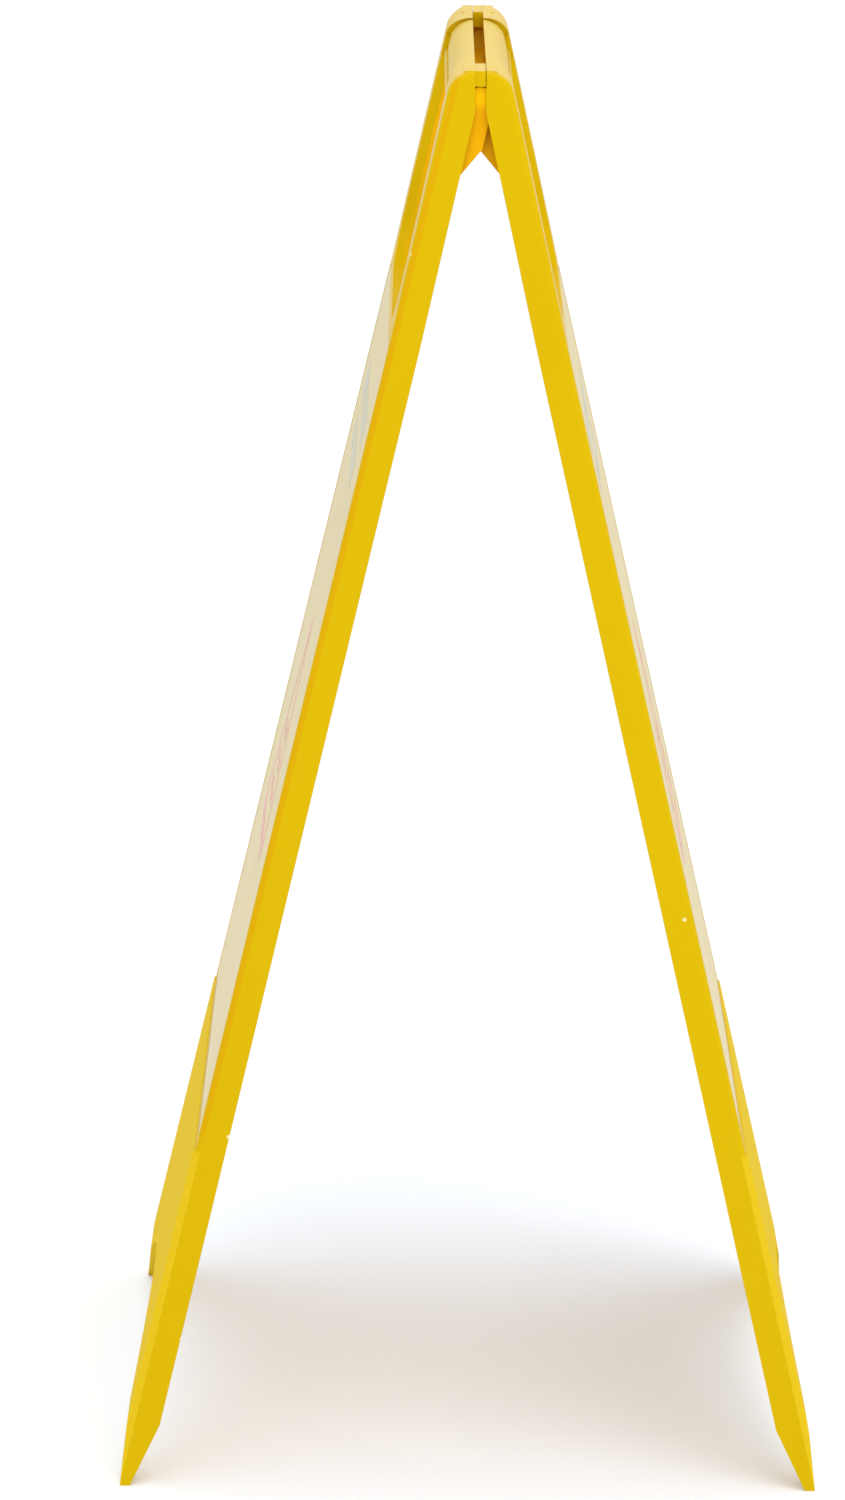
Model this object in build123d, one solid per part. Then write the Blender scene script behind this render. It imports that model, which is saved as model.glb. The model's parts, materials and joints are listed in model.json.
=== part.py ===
"""Wet floor sign: two identical tray panels hinged at the top, with labels and hinge pins.

Frame: +Z up, origin on the floor under the hinge, X along the hinge axis, front panel on -Y.
Units are millimetres. The sign is drawn standing open. Each part of a panel is drawn in the
panel frame, with the hinge axis at the origin and the panel hanging straight down from it, and
v is the distance down the panel from the axis.
"""
import math
import os

from build123d import *

# overall
HEIGHT = 620.0          # floor to the top of the open sign
FOOT_WIDTH = 300.0      # panel width at the floor
TOP_WIDTH = 228.0       # panel width at the hinge axis
LEAN = 13.1             # lean of each panel from upright, degrees
AXIS_DROP = 13.2        # hinge axis below the top
TOP_GAP = 4.8           # gap between the two panel tops when open
AXIS_Z = HEIGHT - AXIS_DROP
LEAN_RAD = math.radians(LEAN)
FLOOR_V = AXIS_Z / math.cos(LEAN_RAD)
EDGE = TOP_WIDTH / 2
BIG = 900.0             # longer than anything that is cut

# tray section
DEPTH = 13.5            # tray depth
WALL = 2.6              # moulded wall
MATE = 0.3              # rim set back from the plane through the hinge axis
FLARE = 1.0             # how far the handle zone stands out, and its rim back, at the axis
FLARE_END = 108.0       # where the handle zone meets the flat face
CROWN_RADIUS = 12.5     # rounded top
CROWN_Y = -(DEPTH + FLARE - CROWN_RADIUS)
CROWN_Z = (AXIS_DROP - CROWN_RADIUS + CROWN_Y * math.sin(LEAN_RAD)) / math.cos(LEAN_RAD)

# handle opening and the grip bar above it
RAIL = 26.0             # side rail beside the opening
OPEN_TOP = 9.0
OPEN_BOTTOM = 106.0
OPEN_CORNER = 24.0      # lower corners
OPEN_SHOULDER = 7.0     # upper corners
GRIP_HALF = 62.0        # half width of the grip bar along the top
GRIP_DIP = 2.2          # how far the grip bar's face is set back from the shoulders

# label and skirt
LABEL_TOP = 112.0
LABEL_BOTTOM = 467.5
SKIRT_TOP = 471.0
RIM_EDGE = 2.4          # rounding of the outer rim edge
RIM_LINE = 4.6          # border left around the label recess
LABEL_DIP = 0.6
LABEL_THICK = 0.4
LABEL_GAP = 0.8         # label edge to recess edge
LABEL_CORNER = 7.0
SKIRT_PROUD = 0.7
SKIRT_BEVEL = 2.8
SKIRT_STEP = 0.5        # bevel along the top of the skirt

# feet
FOOT_INNER = 138.0      # half width of the arch at the floor
ARCH_RISE = 50.0
TOE_OUT = 152.7         # outer edge of the toe, from the middle plane
TOE_IN = 148.3          # inner edge of the toe flat
TOE_OUT_Z = 25.0
TOE_IN_Z = 27.7
TOE_IN_Y = 135.0        # where the toe bevel leaves the rim

# hinge
EAR_RADIUS = 5.6
EAR_DROP = 34.0         # where the ear meets the rim, down from the axis
EAR_NOSE = 20.2         # lowest point of the ear's front edge
PIN_RADIUS = 2.5
RUN_RADIUS = 2.56       # bore of the ear that turns on the pin
CLEVIS = ((EDGE - 8.0, EDGE - 3.3), (EDGE - 19.0, EDGE - 15.0))
TONGUE = (EDGE - 14.5, EDGE - 8.5)
PIN_SPAN = (EDGE - 19.0, EDGE - 5.2)
BLIND_END = EDGE - 5.0  # the outer ear's bore stops here, so no pin shows from the side
PIN_HEAD_RADIUS = 4.2
PIN_HEAD = 1.8
TAB_SPAN = (EDGE - 26.0, EDGE - 1.3)
TAB_Z = (AXIS_Z + EAR_RADIUS + 0.5, HEIGHT - 0.5)
TAB_ROOT = 7.0          # tab root, from the middle plane
TAB_GAP = 0.3           # stop face to the other panel

# ribs on the inside of the tray
RIB_THICK = 1.8
RIB_HEIGHT = 6.0
RIB_X = (-48.0, 48.0)
RIB_V = (190.0, 280.0, 370.0, 450.0)


def to_world(shape):
    """Panel frame to the open front panel."""
    return Pos(0, 0, AXIS_Z) * Rot(-LEAN, 0, 0) * shape


def to_panel(shape):
    """Inverse of to_world, for cuts that are given in the standing frame."""
    return Rot(LEAN, 0, 0) * Pos(0, 0, -AXIS_Z) * shape


def block(x0, x1, y0, y1, z0, z1):
    """Axis-aligned box between two corners."""
    size = (x1 - x0, y1 - y0, z1 - z0)
    return Pos((x0 + x1) / 2, (y0 + y1) / 2, (z0 + z1) / 2) * Box(*size)


def side_prism(points, x0, x1):
    """Extrude a closed (y, z) polygon along X from x0 to x1."""
    face = make_face(Plane.YZ * Polyline(*points, close=True))
    return Pos(x0, 0, 0) * extrude(face, x1 - x0, dir=(1, 0, 0))


def front_prism(face, y_inner, y_outer):
    """Extrude a face drawn on the XZ plane from y_inner outwards to y_outer."""
    return Pos(0, y_inner, 0) * extrude(face, y_inner - y_outer, dir=(0, -1, 0))


def rod(radius, x0, x1, y=0.0, z=0.0):
    """Cylinder along X."""
    return Pos((x0 + x1) / 2, y, z) * Rot(0, 90, 0) * Cylinder(radius, x1 - x0)


def half_width(v):
    """Half width of the panel at distance v down from the axis."""
    return (TOP_WIDTH + (FOOT_WIDTH - TOP_WIDTH) * v / FLOOR_V) / 2


def outline(v_top, v_bottom, inset=0.0):
    """Front view of the tapered panel between two levels, on the XZ plane."""
    top, bottom = half_width(v_top) - inset, half_width(v_bottom) - inset
    points = [(-top, -v_top), (top, -v_top), (bottom, -v_bottom), (-bottom, -v_bottom)]
    return make_face(Plane.XZ * Polyline(*points, close=True))


def rounded_outline(v_top, v_bottom, inset, r_top, r_bottom):
    """Tapered outline with its upper and lower corners rounded."""
    face = outline(v_top, v_bottom, inset)
    lower = face.vertices().sort_by(Axis.Z)[:2]
    face = fillet(lower, r_bottom)
    upper = face.vertices().sort_by(Axis.Z)[-2:]
    return fillet(upper, r_top)


def arch(grow=0.0):
    """Disc whose upper part is the arch between the feet, on the XZ plane."""
    radius = (FOOT_INNER ** 2 + ARCH_RISE ** 2) / (2 * ARCH_RISE)
    return Plane.XZ * Pos(0, -(FLOOR_V - ARCH_RISE) - radius) * Circle(radius + grow)


def profile(inset, x0, x1, v_bottom, mate=MATE):
    """Side view of a panel along X: rounded crown, flared handle zone, flat face. Inset is from outside."""
    crown = rod(CROWN_RADIUS - inset, x0, x1, CROWN_Y, CROWN_Z)
    crown = crown & block(x0, x1, -DEPTH - FLARE, -mate, CROWN_Z, CROWN_Z + CROWN_RADIUS)
    outer, flat = -(DEPTH + FLARE - inset), -(DEPTH - inset)
    if v_bottom <= FLARE_END:
        flat_at = outer + FLARE * (CROWN_Z + v_bottom) / (CROWN_Z + FLARE_END)
        rim_at = -mate - FLARE * (FLARE_END - v_bottom) / (CROWN_Z + FLARE_END)
        points = [(-mate - FLARE, CROWN_Z), (outer, CROWN_Z), (flat_at, -v_bottom), (rim_at, -v_bottom)]
    else:
        points = [(-mate - FLARE, CROWN_Z), (outer, CROWN_Z), (flat, -FLARE_END), (flat, -v_bottom),
                  (-mate, -v_bottom), (-mate, -FLARE_END)]
    return crown + side_prism(points, x0, x1)


def standing_cuts(body):
    """Open the gap between the panel tops and shape the toes, in the standing frame."""
    gap = block(-BIG, BIG, -TOP_GAP / 2, 60, AXIS_Z - 40, HEIGHT + 40)
    floor = block(-BIG, BIG, -400, 400, -200, 0)
    toe_in = side_prism([(-TOE_IN, 0), (-TOE_IN_Y, TOE_IN_Z), (-100, 90), (-60, -60), (-TOE_IN, -60)],
                        -BIG, BIG)
    face = DEPTH + SKIRT_PROUD
    outer_y = -face * math.cos(LEAN_RAD)
    drop = (AXIS_Z + face * math.sin(LEAN_RAD) - TOE_OUT_Z) * math.tan(LEAN_RAD)
    toe_out = side_prism([(-TOE_OUT, 0), (outer_y - drop, TOE_OUT_Z), (-260, TOE_OUT_Z), (-260, -60),
                          (-TOE_OUT, -60)], -BIG, BIG)
    for cut in (gap, floor, toe_in, toe_out):
        body = body - to_panel(cut)
    return body


def outer_body():
    """Solid envelope of one panel: rounded top, label zone, proud skirt with bevelled edges."""
    upper = front_prism(outline(-2 * CROWN_RADIUS, SKIRT_TOP), 0, -2 * DEPTH)
    upper = upper & profile(0, -BIG, BIG, SKIRT_TOP)
    rim_edges = upper.edges().filter_by(lambda e: abs(e.center().X) > EDGE / 2 and e.center().Y < -DEPTH / 3
                                        and e.length > 8)
    upper = fillet(rim_edges.filter_by(lambda e: e.center().Z > -SKIRT_TOP + 1), RIM_EDGE)
    skirt = front_prism(outline(SKIRT_TOP, FLOOR_V + 8), -MATE, -(DEPTH + SKIRT_PROUD))
    outer_face = skirt.faces().sort_by(Axis.Y)[0]
    skirt = chamfer(outer_face.edges().filter_by(lambda e: abs(e.center().X) > EDGE), SKIRT_BEVEL)
    skirt = chamfer(skirt.faces().sort_by(Axis.Y)[0].edges().sort_by(Axis.Z)[-1], SKIRT_STEP)
    return upper + skirt - front_prism(arch(), 0, -40)


def cavity():
    """Hollow of the tray, open towards the other panel, stopping short of the arch and the toes."""
    inner = profile(WALL, -BIG, BIG, FLOOR_V + 20, mate=-5)
    hollow = front_prism(outline(-2 * CROWN_RADIUS, FLOOR_V + 8, WALL), 5, -40) & inner
    grip_bar = front_prism(grip_face(WALL), 5, -40)
    hollow = hollow - (grip_bar - Pos(0, GRIP_DIP, 0) * profile(WALL, -BIG, BIG, FLARE_END, mate=-5))
    hollow = hollow - front_prism(arch(WALL), 5, -40)
    slope = math.atan2(TOE_IN - TOE_IN_Y, TOE_IN_Z)
    lift = WALL / math.cos(slope)
    run = 40.0
    toe_floor = side_prism([(-TOE_IN, lift), (-TOE_IN + run * math.tan(slope), lift + run), (40, 2.5 * run),
                            (40, -80), (-TOE_IN - 40, -80), (-TOE_IN - 40, lift)], -BIG, BIG)
    return hollow - to_panel(toe_floor)


def grip_face(grow=0.0):
    """Grip bar in front view: GRIP_HALF wide along the top, as wide as the opening below."""
    wide = half_width(OPEN_TOP) - RAIL + grow
    narrow = GRIP_HALF + grow
    top = CROWN_Z + CROWN_RADIUS
    points = [(-wide, -OPEN_TOP - 1), (wide, -OPEN_TOP - 1), (wide, 0), (narrow, top), (narrow, 2 * top),
              (-narrow, 2 * top), (-narrow, top), (-wide, 0)]
    return make_face(Plane.XZ * Polyline(*points, close=True))


def opening_face(grow=0.0):
    """Handle opening in front view, following the taper of the panel."""
    return rounded_outline(OPEN_TOP - grow, OPEN_BOTTOM + grow, RAIL - grow, OPEN_SHOULDER + grow,
                           OPEN_CORNER + grow)


def ear(x0, x1):
    """One hinge ear: a plate across the tray that carries on past the rim to a round eye."""
    points = [(-DEPTH / 2, -EAR_DROP), (-MATE - FLARE, -EAR_DROP), (EAR_RADIUS, -EAR_NOSE), (EAR_RADIUS, 0),
              (-DEPTH / 2, 0)]
    plate = profile(1.0, x0, x1, EAR_DROP)
    plate = plate - to_panel(block(-BIG, BIG, -TOP_GAP / 2, 60, AXIS_Z, HEIGHT + 40))
    return side_prism(points, x0, x1) + rod(EAR_RADIUS, x0, x1) + plate


def ribs():
    """Stiffening ribs standing on the inside of the skin."""
    skin = -(DEPTH - WALL) - 0.5
    top = skin + RIB_HEIGHT
    group = []
    for x in RIB_X:
        group.append(block(x - RIB_THICK / 2, x + RIB_THICK / 2, skin, top,
                           -(FLOOR_V - ARCH_RISE - 20), -(OPEN_BOTTOM + WALL)))
    for v in RIB_V:
        reach = half_width(v) - WALL / 2
        group.append(block(-reach, reach, skin, top, -v - RIB_THICK / 2, -v + RIB_THICK / 2))
    return group


def stop_tabs():
    """Stop block across the gap at +X, and the flush block at -X that meets the other panel's."""
    stop = block(TAB_SPAN[0], TAB_SPAN[1], -TAB_ROOT, TOP_GAP / 2 - TAB_GAP, *TAB_Z)
    seat = block(-TAB_SPAN[1], -TAB_SPAN[0], -TAB_ROOT, -TOP_GAP / 2, *TAB_Z)
    return [to_panel(stop), to_panel(seat)]


def label_face(gap=0.0):
    """Recess for the label in front view, or the label itself with a gap all round."""
    radius = LABEL_CORNER - gap
    return rounded_outline(LABEL_TOP + gap, LABEL_BOTTOM - gap, RIM_LINE + gap, radius, radius)


def build_panel():
    """One moulded panel in the panel frame."""
    body = outer_body() - cavity()
    grip = Pos(0, GRIP_DIP, 0) * profile(0, -BIG, BIG, FLARE_END)
    body = body - (front_prism(grip_face(), 5, -40) - grip)
    flange = front_prism(opening_face(WALL), 0, -2 * DEPTH)
    body = body + (flange & profile(WALL / 2, -BIG, BIG, SKIRT_TOP) & block(-BIG, BIG, -40, 0, -BIG, 0))
    body = body - front_prism(opening_face(), 5, -40)
    for rib in ribs():
        body = body + rib
    body = standing_cuts(body)
    for tab in stop_tabs():
        body = body + tab
    for x0, x1 in (*CLEVIS, (-TONGUE[1], -TONGUE[0])):
        body = body + ear(x0, x1)
    body = body - rod(PIN_RADIUS, CLEVIS[1][0] - 1, BLIND_END)
    body = body - rod(RUN_RADIUS, -TONGUE[1] - 1, -TONGUE[0] + 1)
    return body - front_prism(label_face(), -(DEPTH - LABEL_DIP), -DEPTH - 5)


def build_label():
    """Printed sheet stuck in the recess of the panel."""
    seat = -(DEPTH - LABEL_DIP)
    return front_prism(label_face(LABEL_GAP), seat, seat - LABEL_THICK)


def build_pin():
    """Headed pin, pushed outwards through the clevis into the blind ear at the +X end."""
    shank = rod(PIN_RADIUS, *PIN_SPAN)
    shank = chamfer(shank.edges().sort_by(Axis.X)[-1], 0.5)
    head = rod(PIN_HEAD_RADIUS, PIN_SPAN[0] - PIN_HEAD, PIN_SPAN[0])
    head = fillet(head.edges().sort_by(Axis.X)[0], 0.8)
    return shank + head


panel = to_world(build_panel())
label = to_world(build_label())
pin = to_world(build_pin())
turned = Rot(0, 0, 180)

nodes = {
    "front_panel": panel,
    "rear_panel": turned * panel,
    "front_label": label,
    "rear_label": turned * label,
    "right_hinge_pin": pin,
    "left_hinge_pin": turned * pin,
}

os.makedirs("parts", exist_ok=True)
for name, shape in nodes.items():
    export_step(shape, os.path.join("parts", name + ".step"))
    box = shape.bounding_box()
    print(name, "solids", len(shape.solids()), "volume", round(shape.volume), "valid", shape.is_valid,
          "min", [round(c, 2) for c in box.min], "max", [round(c, 2) for c in box.max])
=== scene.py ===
"""Looks of the wet floor sign: moulded yellow plastic, printed labels, studio floor and light."""
import json
import math

import bmesh
import bpy
from mathutils import Matrix, Vector


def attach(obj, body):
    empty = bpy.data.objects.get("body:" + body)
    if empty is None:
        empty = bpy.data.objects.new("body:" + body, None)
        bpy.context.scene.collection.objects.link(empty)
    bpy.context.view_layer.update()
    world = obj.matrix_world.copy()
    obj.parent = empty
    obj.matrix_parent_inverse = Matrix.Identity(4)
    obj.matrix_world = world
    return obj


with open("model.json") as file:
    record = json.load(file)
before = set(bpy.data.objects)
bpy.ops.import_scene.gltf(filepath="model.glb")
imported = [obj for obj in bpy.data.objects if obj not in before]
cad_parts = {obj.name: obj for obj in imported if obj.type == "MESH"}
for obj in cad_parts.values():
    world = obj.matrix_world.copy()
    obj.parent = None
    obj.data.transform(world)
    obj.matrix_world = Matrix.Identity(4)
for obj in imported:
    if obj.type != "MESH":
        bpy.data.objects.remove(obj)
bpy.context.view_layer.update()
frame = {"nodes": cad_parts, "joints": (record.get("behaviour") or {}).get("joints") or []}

# panel frame, as in the CAD, in metres: v runs down a panel from the hinge axis, and depth runs out
# from its mating plane
HINGE = Vector(frame["joints"][0]["pos_m"])
LEAN = math.radians(abs(frame["joints"][0]["range_deg"][0])) / 2
SKIRT_TOP = 0.471
LABEL_FACE = 0.0133                 # depth of the label face
HALF_TOP, WIDEN = 0.114, 0.0578     # half width at the hinge axis, and its growth per metre down
PANELS = {"front": 1.0, "rear": -1.0}

# where each effect on a panel fades in or out, in metres of v, depth or distance in from the side face
SKIRT_START = (SKIRT_TOP - 0.0005, SKIRT_TOP + 0.0005)      # v
SKIRT_BEVEL = (0.0109, 0.0115)      # depth
SIDE_WALL = (0.0012, 0.0018)        # distance in from the side face
EAR_DEPTH = (0.0095, 0.010)         # depth that takes in the ears and the tray's side walls
CROWN = (-0.006, -0.005)            # v
GAP = (0.0, 0.006)                  # v
HINGE_END = (0.04, 0.09)            # v
# painted shade along the front panel's rounded rim, above the skirt
RIM_SHADE_IN, RIM_SHADE_OUT = (0.0104, 0.0110), (0.0128, 0.0134)      # depth
RIM_SHADE_SIDE = (0.0010, 0.0014)    # distance in from the side face
RIM_SHADE_END = (SKIRT_TOP - 0.012, SKIRT_TOP)               # v
# painted highlight on the upward-facing top of the crown
CROWN_HIGHLIGHT_END = (0.0, 0.01)            # v
TOE_START = (0.54, 0.63)            # v

# where a direction or a noise value starts to count
FACING_IN = (-0.6, -0.4)            # part of the normal that points out of the panel
FACING_UP = (0.4, 0.95)             # part of the normal that points up
FLOW_SPAN, FLECK_SPAN, SCUFF_SPAN = (0.35, 0.68), (0.55, 0.8), (0.66, 0.74)
CLOUD_SPAN, COVER_SPAN, SPECK_SPAN = (0.4, 0.7), (0.45, 0.72), (0.66, 0.74)

# how strongly each effect covers what is under it, from 0 to 1
# strength of the painted glow that stands for light through the thin walls
FAR_PAINTED_GLOW = 0.25                     # inside the tray away from the hinge; it is 1 at the hinge
# among these: the strength of the painted crown highlight
# among these: the strength of the painted rim shade
FLECK_COVER, RIM_SHADE_COVER, CROWN_HIGHLIGHT_COVER, SCUFF_COVER, NICK_COVER = 0.15, 0.55, 0.32, 0.35, 0.8
MOTTLE_COVER, CLOUD_COVER = 0.35, 0.5
THIN_INK_COVER, SPECK_COVER = 0.5, 0.4
INK_SEE_THROUGH = 0.35              # share of the film's colour in thin ink
LABEL_SHADE = 0.93                  # the film's darker parts, as a part of its colour

# linear colours
YELLOW = (0.645, 0.43, 0.0004)
DEEP_YELLOW = (0.63, 0.41, 0.0004)
FLECK_YELLOW = (0.66, 0.38, 0.001)
# painted glow: brighter yellows inside the tray and in the hinge gap stand for light through the thin walls
PAINTED_INNER_GLOW = (0.84, 0.44, 0.001)
PAINTED_GAP_GLOW = (0.97, 0.62, 0.001)
NICK_YELLOW = (0.86, 0.74, 0.38)
# painted shade along the front panel's rounded rim
RIM_SHADE_YELLOW = (0.66, 0.32, 0.0004)
# painted highlight on the upward-facing top of the crown
CROWN_HIGHLIGHT_YELLOW = (0.74, 0.60, 0.24)
SKIRT_YELLOW = (0.71, 0.49, 0.010)
WORN_YELLOW = (0.80, 0.66, 0.22)
PIN_YELLOW, PIN_DEEP_YELLOW = (0.86, 0.50, 0.004), (0.74, 0.41, 0.003)
CREAM = (0.65, 0.53, 0.25)
INK_RED = (0.60, 0.17, 0.10)
INK_GREY = (0.40, 0.36, 0.17)
FLOOR_PALE, FLOOR_PALER = (0.885, 0.89, 0.90), (0.91, 0.915, 0.925)

# noise patterns: scale in features per metre
FLOW_MARKS = dict(scale=5.0, detail=4.0, rough=0.55, stretch=(1, 1, 0.5))
FLECKS = dict(scale=60.0)
TOE_SCUFFS = dict(scale=240.0, detail=4.0, rough=0.7, stretch=(1, 1, 0.25))
HAND_SMEARS = dict(scale=11.0, detail=4.0, rough=0.6)
RIPPLE = dict(scale=45.0, detail=2.0)
TURNING_MARKS = dict(scale=300.0, detail=2.0, stretch=(6, 1, 1))
FILM_MOTTLE = dict(scale=420.0, detail=2.0)
FILM_CLOUDS = dict(scale=6.0)
FILM_SMEARS = dict(scale=14.0, detail=4.0, rough=0.6)
FILM_WAVES = dict(scale=16.0, detail=2.0)
ORANGE_PEEL = dict(scale=260.0, detail=2.0)
INK_COVER = dict(scale=90.0, detail=4.0, rough=0.6)
INK_SPECKS = dict(scale=700.0, detail=2.0)
FLOOR_CLOUDS = dict(scale=3.0)
NICK_SCALE, NICK_SIZE = 45.0, 0.05  # sparse pale nicks: cells per metre, and size as a part of a cell
NICK_CORE = 0.6                     # solid part of a nick
GRAIN_SCALE = 900.0

# roughness: the least, and what the smears add to it
PANEL_ROUGH, PANEL_SMEAR = 0.27, 0.16
SKIRT_ROUGH, SCUFF_ROUGH = 0.42, 0.4        # added on the skirt and on the scuffs
LABEL_ROUGH, INK_ROUGH, FILM_SMEAR = 0.34, 0.24, 0.14
PIN_ROUGH, FLOOR_ROUGH = 0.42, 0.6

# specular level
PANEL_SHINE, LABEL_SHINE, INK_SHINE, PIN_SHINE, FLOOR_SHINE = 0.04, 0.14, 0.30, 0.15, 0.1

# relief: strength and height in metres, and the parts of each pattern in it
PANEL_BUMP, LABEL_BUMP, INK_BUMP, PIN_BUMP = (0.22, 0.0006), (0.25, 0.0012), (0.12, 0.0004), (0.2, 0.0003)
GRAIN_PART, SKIRT_GRAIN_PART, RIPPLE_PART, PEEL_PART = 0.10, 0.7, 0.35, 0.03

# print on the label: plain shapes, x across and v down the panel
PRINT_THICK = 0.00008
CORNER_STEPS = 8
HEADING = ((0.152, 0.167, ((-0.078, -0.022), (-0.010, 0.066))),
           (0.175, 0.188, ((-0.066, -0.036), (-0.026, 0.052))))
HEADING_CORNER = 0.003
TRIANGLE_TOP, TRIANGLE_BASE, TRIANGLE_HALF = 0.250, 0.362, 0.066
TRIANGLE_LINE = 0.0075
TRIANGLE_CORNER, INNER_CORNER = 0.009, 0.6      # the inner corners are rounded less, by this part
WAVE_ROWS = (0.312, 0.326, 0.340)
WAVE_HALF, WAVE_RISE, WAVE_LINE = 0.026, 0.0022, 0.0040
WAVE_CRESTS, WAVE_STEPS = 2, 32
TOP_WAVE_SHARE = 0.55               # length of the top wave as a part of the bottom one's

# studio: the floor's faint bluish emission offsets the yellow light that the sign throws on it
FLOOR_REACH = 30.0
FLOOR_EMISSION = (0.03, 0.075, 0.14, 1)
SKY_STRENGTH = 1.08
LIGHT_PLACE, LIGHT_AIM, LIGHT_SIZE, LIGHT_POWER = (1.1, 0.4, 2.4), (0, 0, 0), 1.6, 17

# camera
CAMERA_PLACE = Vector((2.781, -0.0239, 0.976))
CAMERA_YAW, CAMERA_PITCH, CAMERA_ROLL = math.radians(-0.034), math.radians(13.72), math.radians(0.472)
CAMERA_LENS, SENSOR, FARTHEST_SEEN = 152.3, 36.0, 100


def panel_axes(side):
    """Directions down a panel and out of it."""
    down = Vector((0, -side * math.sin(LEAN), -math.cos(LEAN)))
    out = Vector((0, -side * math.cos(LEAN), math.sin(LEAN)))
    return down, out


def new_material(name):
    """Material with only a Principled shader, linked to its output."""
    mat = bpy.data.materials.new(name)
    mat.use_nodes = True
    tree = mat.node_tree
    tree.nodes.clear()
    out = tree.nodes.new("ShaderNodeOutputMaterial")
    shader = tree.nodes.new("ShaderNodeBsdfPrincipled")
    tree.links.new(shader.outputs[0], out.inputs[0])
    return mat, tree, shader


def node(tree, kind, inputs=None, **settings):
    """Add a node, set its properties, and fill or link its inputs."""
    n = tree.nodes.new(kind)
    for key, value in settings.items():
        setattr(n, key, value)
    for key, value in (inputs or {}).items():
        if isinstance(value, bpy.types.NodeSocket):
            tree.links.new(value, n.inputs[key])
        else:
            n.inputs[key].default_value = value
    return n


def math_node(tree, operation, a, b=0.0, clamp=False):
    return node(tree, "ShaderNodeMath", {0: a, 1: b}, operation=operation, use_clamp=clamp).outputs[0]


def times(tree, a, b):
    return math_node(tree, "MULTIPLY", a, b)


def times_plus(tree, value, factor, base):
    """value * factor + base"""
    return node(tree, "ShaderNodeMath", {0: value, 1: factor, 2: base}, operation="MULTIPLY_ADD").outputs[0]


def rise(tree, value, span):
    """0 below the span, 1 above it, smooth between."""
    n = node(tree, "ShaderNodeMapRange", {"Value": value, "From Min": span[0], "From Max": span[1]},
             interpolation_type="SMOOTHSTEP")
    return n.outputs["Result"]


def fall(tree, value, span):
    """1 below the span, 0 above it, smooth between."""
    return math_node(tree, "SUBTRACT", 1.0, rise(tree, value, span))


def mix_colour(tree, factor, a, b):
    n = tree.nodes.new("ShaderNodeMix")
    n.data_type = "RGBA"
    for index, value in ((0, factor), (6, a), (7, b)):
        if isinstance(value, bpy.types.NodeSocket):
            tree.links.new(value, n.inputs[index])
        else:
            n.inputs[index].default_value = value if index == 0 else (*value, 1.0)
    return n.outputs[2]


def cover(tree, colour, other, mask, strength=1.0):
    """Lay another colour over this one where the mask says."""
    return mix_colour(tree, times(tree, mask, strength), colour, other)


def noise(tree, place, scale, detail=3.0, rough=0.5, stretch=(1, 1, 1)):
    spot = node(tree, "ShaderNodeMapping", {"Vector": place, "Scale": stretch}).outputs[0]
    inputs = {"Vector": spot, "Scale": scale, "Detail": detail, "Roughness": rough}
    return node(tree, "ShaderNodeTexNoise", inputs).outputs["Fac"]


def cells(tree, place, scale):
    """Distance from the middle of the nearest cell."""
    return node(tree, "ShaderNodeTexVoronoi", {"Vector": place, "Scale": scale}).outputs["Distance"]


def dot(tree, a, b):
    return node(tree, "ShaderNodeVectorMath", {0: a, 1: b}, operation="DOT_PRODUCT").outputs["Value"]


def part_of(tree, vector, axis):
    return node(tree, "ShaderNodeSeparateXYZ", {0: vector}).outputs[axis]


def add_relief(tree, shader, height, bump):
    """Bump the surface by a height pattern; bump holds its strength and distance."""
    strength, distance = bump
    n = node(tree, "ShaderNodeBump", {"Height": height, "Strength": strength, "Distance": distance})
    tree.links.new(n.outputs[0], shader.inputs["Normal"])


def panel_place(tree, place, side):
    """Distance down a panel, depth out of it, and distance in from its side face."""
    rel = node(tree, "ShaderNodeVectorMath", {0: place, 1: HINGE}, operation="SUBTRACT").outputs[0]
    v, depth = [dot(tree, rel, axis) for axis in panel_axes(side)]
    half = times_plus(tree, v, WIDEN, HALF_TOP)
    from_side = math_node(tree, "SUBTRACT", half, math_node(tree, "ABSOLUTE", part_of(tree, place, "X")))
    return v, depth, from_side


def inside_mask(tree, normal, v, depth, from_side, side):
    """1 on the inside of the tray, the gap and the ears, where a painted glow stands for light coming
    through the thin walls.
    """
    inward = fall(tree, dot(tree, normal, panel_axes(side)[1]), FACING_IN)
    walls = times(tree, rise(tree, from_side, SIDE_WALL), fall(tree, depth, EAR_DEPTH))
    walls = times(tree, walls, rise(tree, v, CROWN))
    return math_node(tree, "MAXIMUM", inward, walls)


def plastic_colour(tree, place):
    """The two yellows of the flow marks, with fine flecks."""
    flow = rise(tree, noise(tree, place, **FLOW_MARKS), FLOW_SPAN)
    colour = mix_colour(tree, flow, YELLOW, DEEP_YELLOW)
    flecks = rise(tree, noise(tree, place, **FLECKS), FLECK_SPAN)
    return cover(tree, colour, FLECK_YELLOW, flecks, FLECK_COVER)


def add_painted_glow(tree, colour, inside, v):
    """Painted glow: brighter, warmer yellow inside the tray for light through the thin walls, strongest at
    the hinge.
    """
    glow = times_plus(tree, fall(tree, v, HINGE_END), 1 - FAR_PAINTED_GLOW, FAR_PAINTED_GLOW)
    inner = mix_colour(tree, rise(tree, v, GAP), PAINTED_GAP_GLOW, PAINTED_INNER_GLOW)
    return cover(tree, colour, inner, inside, glow)


def add_painted_rim_shade(tree, colour, v, depth, from_side):
    """Painted shade: deeper yellow along the rounded rim, above the skirt."""
    band = times(tree, rise(tree, depth, RIM_SHADE_IN), fall(tree, depth, RIM_SHADE_OUT))
    place = times(tree, fall(tree, from_side, RIM_SHADE_SIDE), fall(tree, v, RIM_SHADE_END))
    return cover(tree, colour, RIM_SHADE_YELLOW, times(tree, band, place), RIM_SHADE_COVER)


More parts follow.
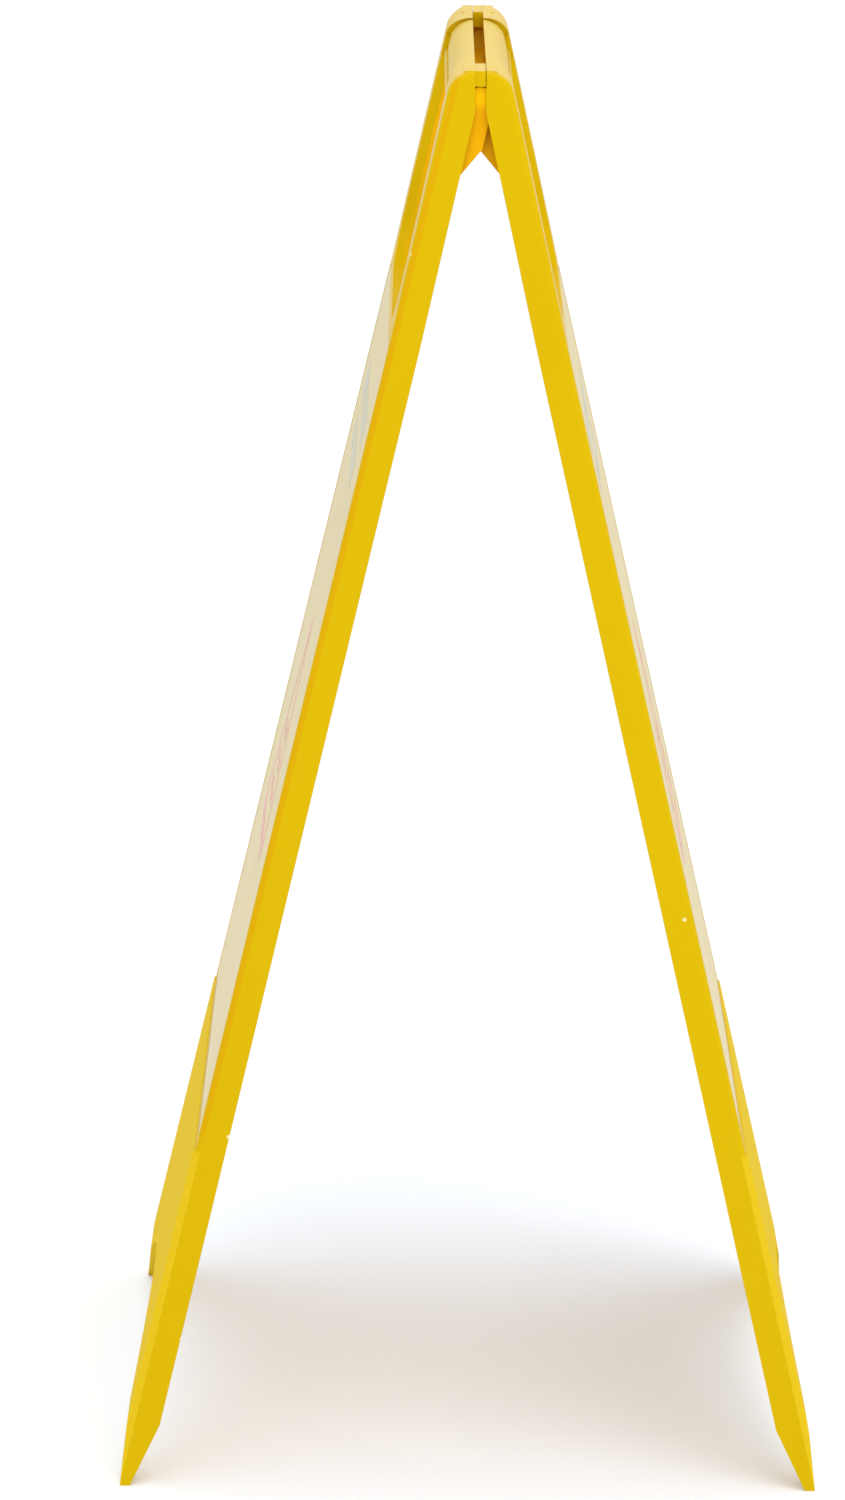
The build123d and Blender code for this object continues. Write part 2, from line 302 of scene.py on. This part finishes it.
def add_painted_crown_highlight(tree, colour, normal, v):
    """Painted highlight: paler yellow on the upward-facing top of the crown, where the overhead light falls.
    """
    lit_top = times(tree, rise(tree, part_of(tree, normal, "Z"), FACING_UP), fall(tree, v, CROWN_HIGHLIGHT_END))
    return cover(tree, colour, CROWN_HIGHLIGHT_YELLOW, lit_top, CROWN_HIGHLIGHT_COVER)


def toe_scuffs(tree, place, v):
    scuffs = rise(tree, noise(tree, place, **TOE_SCUFFS), SCUFF_SPAN)
    return times(tree, scuffs, times(tree, rise(tree, v, TOE_START), SCUFF_COVER))


def add_nicks(tree, colour, place):
    nicks = fall(tree, cells(tree, place, NICK_SCALE), (NICK_SIZE * NICK_CORE, NICK_SIZE))
    return cover(tree, colour, NICK_YELLOW, nicks, NICK_COVER)


def panel_roughness(tree, place, skirt, scuffs):
    rough = times_plus(tree, noise(tree, place, **HAND_SMEARS), PANEL_SMEAR, PANEL_ROUGH)
    rough = math_node(tree, "ADD", rough, times(tree, skirt, SKIRT_ROUGH), clamp=True)
    return math_node(tree, "ADD", rough, times(tree, scuffs, SCUFF_ROUGH), clamp=True)


def panel_relief(tree, place, skirt):
    """Fine moulded grain, coarser on the skirt, on a slow ripple."""
    amount = times_plus(tree, skirt, SKIRT_GRAIN_PART, GRAIN_PART)
    grain = times(tree, cells(tree, place, GRAIN_SCALE), amount)
    return math_node(tree, "ADD", grain, times(tree, noise(tree, place, **RIPPLE), RIPPLE_PART))


def panel_material(name, side):
    """Satin polypropylene: flow marks, grain, a painted glow inside, painted shade along the front rim, a
    painted highlight on the crown top and scuffed toes.
    """
    mat, tree, shader = new_material(name)
    coords = node(tree, "ShaderNodeTexCoord")
    place, normal = coords.outputs["Object"], coords.outputs["Normal"]
    v, depth, from_side = panel_place(tree, place, side)
    skirt = times(tree, rise(tree, v, SKIRT_START), rise(tree, depth, SKIRT_BEVEL))
    scuffs = toe_scuffs(tree, place, v)

    colour = cover(tree, plastic_colour(tree, place), SKIRT_YELLOW, skirt)
    colour = add_painted_glow(tree, colour, inside_mask(tree, normal, v, depth, from_side, side), v)
    # painted rim shade, on the front panel only
    if side == PANELS["front"]:
        colour = add_painted_rim_shade(tree, colour, v, depth, from_side)
    colour = add_painted_crown_highlight(tree, colour, normal, v)
    colour = cover(tree, colour, WORN_YELLOW, scuffs)
    colour = add_nicks(tree, colour, place)

    tree.links.new(colour, shader.inputs["Base Color"])
    tree.links.new(panel_roughness(tree, place, skirt, scuffs), shader.inputs["Roughness"])
    add_relief(tree, shader, panel_relief(tree, place, skirt), PANEL_BUMP)
    shader.inputs["Specular IOR Level"].default_value = PANEL_SHINE
    return mat


def label_material(name):
    """Glossy printed film with slight waviness and faint mottling."""
    mat, tree, shader = new_material(name)
    place = node(tree, "ShaderNodeTexCoord").outputs["Object"]
    darker = tuple(c * LABEL_SHADE for c in CREAM)
    colour = cover(tree, CREAM, darker, noise(tree, place, **FILM_MOTTLE), MOTTLE_COVER)
    clouds = rise(tree, noise(tree, place, **FILM_CLOUDS), CLOUD_SPAN)
    colour = cover(tree, colour, darker, clouds, CLOUD_COVER)
    tree.links.new(colour, shader.inputs["Base Color"])
    rough = times_plus(tree, noise(tree, place, **FILM_SMEARS), FILM_SMEAR, LABEL_ROUGH)
    tree.links.new(rough, shader.inputs["Roughness"])
    peel = times(tree, noise(tree, place, **ORANGE_PEEL), PEEL_PART)
    add_relief(tree, shader, math_node(tree, "ADD", noise(tree, place, **FILM_WAVES), peel), LABEL_BUMP)
    shader.inputs["Specular IOR Level"].default_value = LABEL_SHINE
    return mat


def ink_material(name, colour):
    """Screen-printed ink: slightly uneven over the film, with fine specks."""
    mat, tree, shader = new_material(name)
    place = node(tree, "ShaderNodeTexCoord").outputs["Object"]
    thin = tuple((1 - INK_SEE_THROUGH) * c + INK_SEE_THROUGH * f for c, f in zip(colour, CREAM))
    uneven = rise(tree, noise(tree, place, **INK_COVER), COVER_SPAN)
    mixed = cover(tree, colour, thin, uneven, THIN_INK_COVER)
    mixed = cover(tree, mixed, CREAM, rise(tree, noise(tree, place, **INK_SPECKS), SPECK_SPAN), SPECK_COVER)
    tree.links.new(mixed, shader.inputs["Base Color"])
    rough = times_plus(tree, noise(tree, place, **FILM_SMEARS), FILM_SMEAR, INK_ROUGH)
    tree.links.new(rough, shader.inputs["Roughness"])
    add_relief(tree, shader, noise(tree, place, **ORANGE_PEEL), INK_BUMP)
    shader.inputs["Specular IOR Level"].default_value = INK_SHINE
    return mat


def pin_material():
    """Plain nylon with turning marks."""
    mat, tree, shader = new_material("pin_nylon")
    place = node(tree, "ShaderNodeTexCoord").outputs["Object"]
    marks = noise(tree, place, **TURNING_MARKS)
    tree.links.new(mix_colour(tree, marks, PIN_YELLOW, PIN_DEEP_YELLOW), shader.inputs["Base Color"])
    add_relief(tree, shader, marks, PIN_BUMP)
    shader.inputs["Roughness"].default_value = PIN_ROUGH
    shader.inputs["Specular IOR Level"].default_value = PIN_SHINE
    return mat


def dress(name, mat):
    """Give a CAD node its material."""
    materials = frame["nodes"][name].data.materials
    materials.clear()
    materials.append(mat)


def dress_cad_nodes():
    for word, side in PANELS.items():
        dress(word + "_panel", panel_material(word + "_plastic", side))
        dress(word + "_label", label_material(word + "_film"))
    pin = pin_material()
    dress("left_hinge_pin", pin)
    dress("right_hinge_pin", pin)


def on_panel(side, x, v, depth):
    """Point in the row frame from x across, v down and depth out of a panel."""
    down, out = panel_axes(side)
    return HINGE + Vector((side * x, 0, 0)) + down * v + out * depth


def rounded_corners(corners, radius):
    """Closed polygon with each corner replaced by an arc."""
    points = []
    count = len(corners)
    for i in range(count):
        here = Vector(corners[i])
        before = (Vector(corners[i - 1]) - here).normalized()
        after = (Vector(corners[(i + 1) % count]) - here).normalized()
        half = before.angle(after) / 2
        centre = here + (before + after).normalized() * radius / math.sin(half)
        start = here + before * radius / math.tan(half) - centre
        sweep = start.angle_signed(here + after * radius / math.tan(half) - centre)
        for k in range(CORNER_STEPS + 1):
            turn = Matrix.Rotation(-sweep * k / CORNER_STEPS, 2)
            points.append(centre + turn @ start)
    return points


def add_print(mesh, side, ring, inner=None):
    """Add one printed shape as a thin plate: a filled outline, or a band between two outlines."""
    low, high = LABEL_FACE - PRINT_THICK, LABEL_FACE + PRINT_THICK
    loops = [ring] if inner is None else [ring, inner]
    tops = [[mesh.verts.new(on_panel(side, p[0], p[1], high)) for p in loop] for loop in loops]
    feet = [[mesh.verts.new(on_panel(side, p[0], p[1], low)) for p in loop] for loop in loops]
    count = len(ring)
    for i in range(count):
        j = (i + 1) % count
        for top, foot in zip(tops, feet):
            mesh.faces.new((top[i], top[j], foot[j], foot[i]))
        if inner is not None:
            mesh.faces.new((tops[0][i], tops[0][j], tops[1][j], tops[1][i]))
            mesh.faces.new((feet[0][i], feet[0][j], feet[1][j], feet[1][i]))
    if inner is None:
        mesh.faces.new(tops[0])
        mesh.faces.new(feet[0])


def finish_print(mesh, name, mat, word):
    bmesh.ops.recalc_face_normals(mesh, faces=mesh.faces)
    data = bpy.data.meshes.new(name)
    mesh.to_mesh(data)
    mesh.free()
    data.materials.append(mat)
    obj = bpy.data.objects.new(name, data)
    bpy.context.scene.collection.objects.link(obj)
    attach(obj, word + "_leaf")


def heading_mesh(side):
    """Plain rounded bars in two rows."""
    mesh = bmesh.new()
    for v0, v1, spans in HEADING:
        for x0, x1 in spans:
            box = [(x0, v0), (x1, v0), (x1, v1), (x0, v1)]
            add_print(mesh, side, rounded_corners(box, HEADING_CORNER))
    return mesh


def triangle_mesh(side):
    """Outline of a rounded triangle, with its line of even width along the sides."""
    mesh = bmesh.new()
    outer = [(0.0, TRIANGLE_TOP), (TRIANGLE_HALF, TRIANGLE_BASE), (-TRIANGLE_HALF, TRIANGLE_BASE)]
    height = TRIANGLE_BASE - TRIANGLE_TOP
    slant = math.hypot(TRIANGLE_HALF, height)
    inradius = TRIANGLE_HALF * height / (TRIANGLE_HALF + slant)
    middle = Vector((0.0, TRIANGLE_BASE - inradius))
    shrink = 1 - TRIANGLE_LINE / inradius
    inner = [middle + (Vector(p) - middle) * shrink for p in outer]
    add_print(mesh, side, rounded_corners(outer, TRIANGLE_CORNER),
              rounded_corners(inner, TRIANGLE_CORNER * shrink * INNER_CORNER))
    return mesh


def wave_mesh(side):
    """Wavy lines inside the triangle, each longer than the one above."""
    mesh = bmesh.new()
    for v in WAVE_ROWS:
        down = (v - WAVE_ROWS[0]) / (WAVE_ROWS[-1] - WAVE_ROWS[0])
        half = WAVE_HALF * (TOP_WAVE_SHARE + (1 - TOP_WAVE_SHARE) * down)
        along = [k / WAVE_STEPS for k in range(WAVE_STEPS + 1)]
        line = [(half * (2 * t - 1), v + WAVE_RISE * math.sin(2 * math.pi * WAVE_CRESTS * t)) for t in along]
        upper = [(x, y - WAVE_LINE / 2) for x, y in line]
        lower = [(x, y + WAVE_LINE / 2) for x, y in reversed(line)]
        add_print(mesh, side, upper + lower)
    return mesh


def set_up_prints():
    """Plain heading bars and a triangle with waves, on both labels."""
    red, grey = ink_material("red_ink", INK_RED), ink_material("grey_ink", INK_GREY)
    for word, side in PANELS.items():
        finish_print(heading_mesh(side), word + "_heading_print", grey, word)
        finish_print(triangle_mesh(side), word + "_triangle_print", red, word)
        finish_print(wave_mesh(side), word + "_wave_print", red, word)


def floor_material():
    """Pale, slightly clouded floor with its faint emission."""
    mat, tree, shader = new_material("studio_floor")
    place = node(tree, "ShaderNodeTexCoord").outputs["Object"]
    colour = mix_colour(tree, noise(tree, place, **FLOOR_CLOUDS), FLOOR_PALE, FLOOR_PALER)
    tree.links.new(colour, shader.inputs["Base Color"])
    shader.inputs["Emission Color"].default_value = FLOOR_EMISSION
    shader.inputs["Emission Strength"].default_value = 1.0
    shader.inputs["Roughness"].default_value = FLOOR_ROUGH
    shader.inputs["Specular IOR Level"].default_value = FLOOR_SHINE
    return mat


def set_up_floor():
    mesh = bpy.data.meshes.new("studio_floor")
    r = FLOOR_REACH
    mesh.from_pydata([(-r, -r, 0), (r, -r, 0), (r, r, 0), (-r, r, 0)], [], [(0, 1, 2, 3)])
    floor = bpy.data.objects.new("studio_floor", mesh)
    bpy.context.scene.collection.objects.link(floor)
    mesh.materials.append(floor_material())


def set_up_light():
    """White surroundings and one soft disk overhead."""
    world = bpy.data.worlds.new("studio")
    world.use_nodes = True
    background = world.node_tree.nodes["Background"]
    background.inputs[0].default_value = (1, 1, 1, 1)
    background.inputs[1].default_value = SKY_STRENGTH
    bpy.context.scene.world = world

    data = bpy.data.lights.new("overhead", "AREA")
    data.shape = "DISK"
    data.size = LIGHT_SIZE
    data.energy = LIGHT_POWER
    light = bpy.data.objects.new("overhead", data)
    light.location = LIGHT_PLACE
    light.rotation_mode = "QUATERNION"
    light.rotation_quaternion = (Vector(LIGHT_AIM) - Vector(LIGHT_PLACE)).to_track_quat("-Z", "Y")
    bpy.context.scene.collection.objects.link(light)
    bpy.context.scene.view_settings.view_transform = "Standard"


def set_up_camera():
    yaw, pitch, roll = CAMERA_YAW, CAMERA_PITCH, CAMERA_ROLL
    forward = Vector((-math.cos(yaw) * math.cos(pitch), -math.sin(yaw) * math.cos(pitch), -math.sin(pitch)))
    level = Vector((-math.sin(yaw), math.cos(yaw), 0))
    upright = level.cross(forward)
    right = level * math.cos(roll) + upright * math.sin(roll)
    up = upright * math.cos(roll) - level * math.sin(roll)
    data = bpy.data.cameras.new("photo_camera")
    data.lens, data.sensor_width = CAMERA_LENS, SENSOR
    data.clip_end = FARTHEST_SEEN
    camera = bpy.data.objects.new("photo_camera", data)
    turn = Matrix((right, up, -forward)).transposed()
    camera.matrix_world = Matrix.Translation(CAMERA_PLACE) @ turn.to_4x4()
    bpy.context.scene.collection.objects.link(camera)
    bpy.context.scene.camera = camera


dress_cad_nodes()
set_up_prints()
set_up_floor()
set_up_light()
set_up_camera()

bpy.context.view_layer.update()
